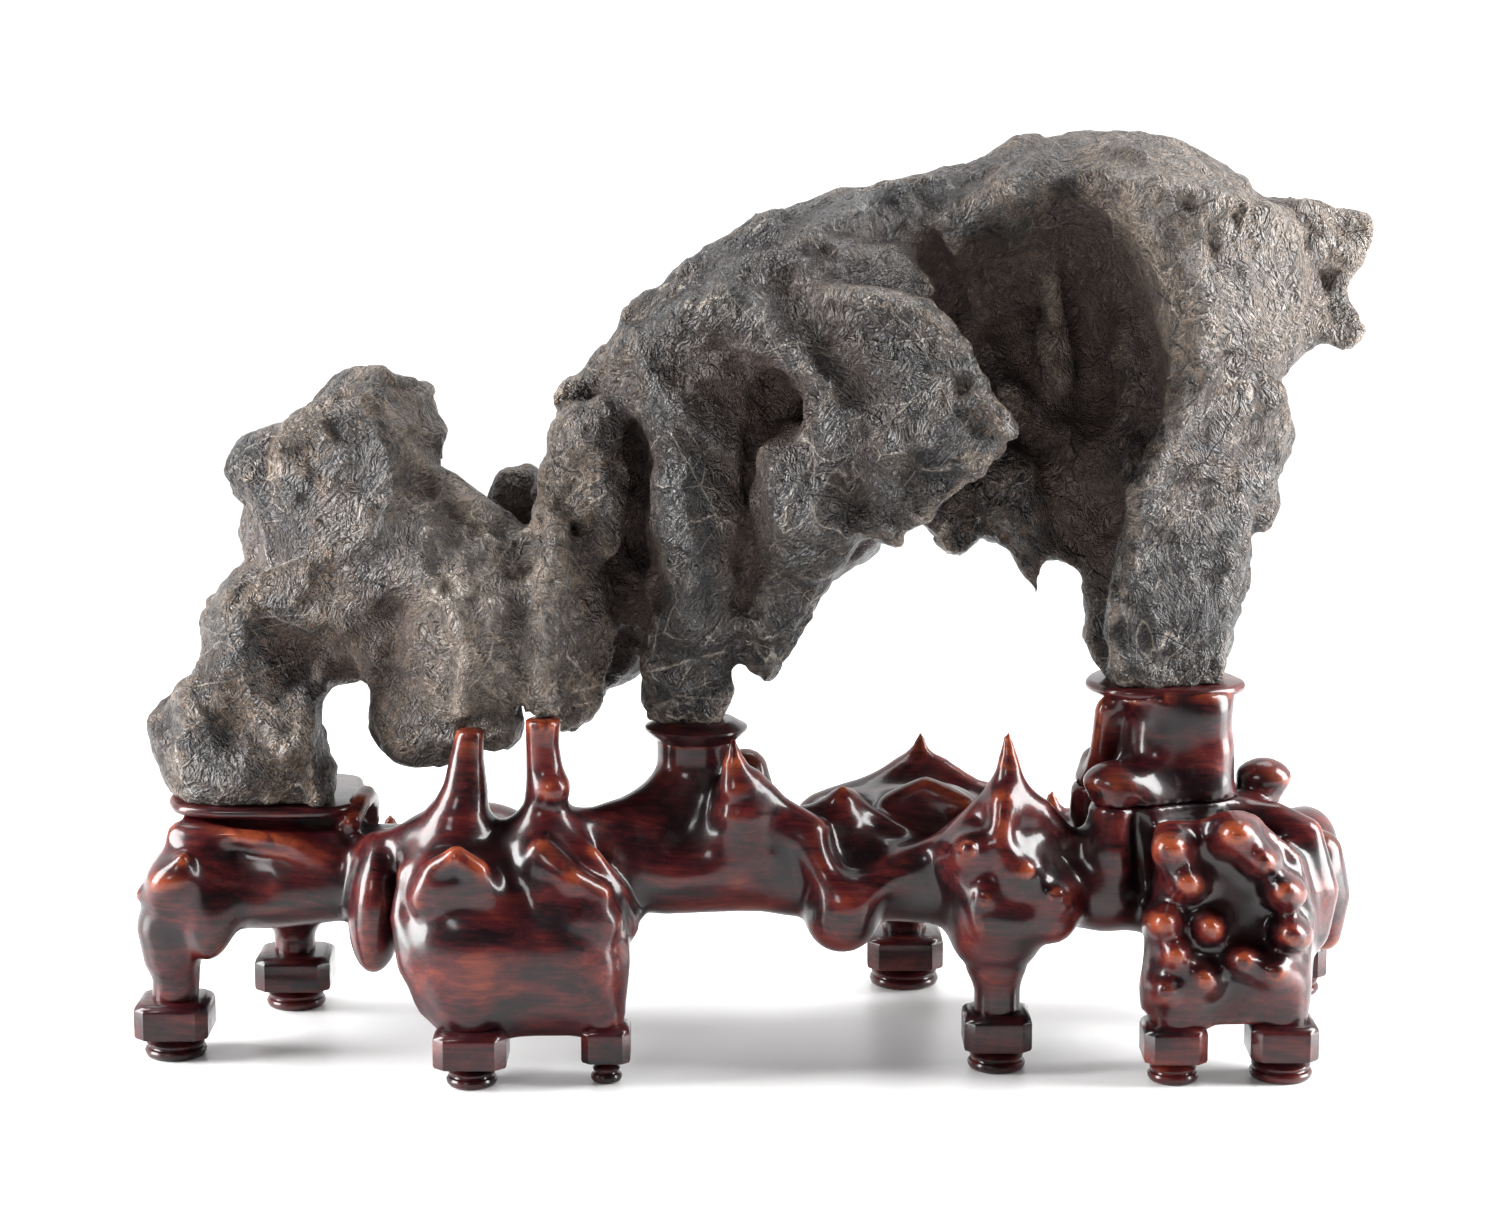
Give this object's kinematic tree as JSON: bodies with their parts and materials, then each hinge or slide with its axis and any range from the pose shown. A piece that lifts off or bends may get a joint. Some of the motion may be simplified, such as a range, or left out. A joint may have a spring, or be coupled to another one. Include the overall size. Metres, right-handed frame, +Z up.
{
  "type": "lingbi scholar stone on a carved stand",
  "caption": "Arched dark scholar stone with hollows, a snout and a hanging point, standing on a carved, knobbed and footed lacquered hardwood stand.",
  "frame": {"origin": "on the floor, under the middle of the whole object", "axes": "+X along the stone to the viewer's right, -Y towards the viewer, +Z up"},
  "size_m": [0.5178, 0.1836, 0.3856],
  "materials": {
    "stone": "semi-matte weathered limestone with fine pale veins",
    "stand": "glossy dark red lacquer, worn to orange-red on the knobs",
    "riser": "glossy dark red lacquer"
  },
  "bodies": {
    "root": {"stone": "stone", "stand": "stand", "riser": "riser"}
  },
  "joints": []
}
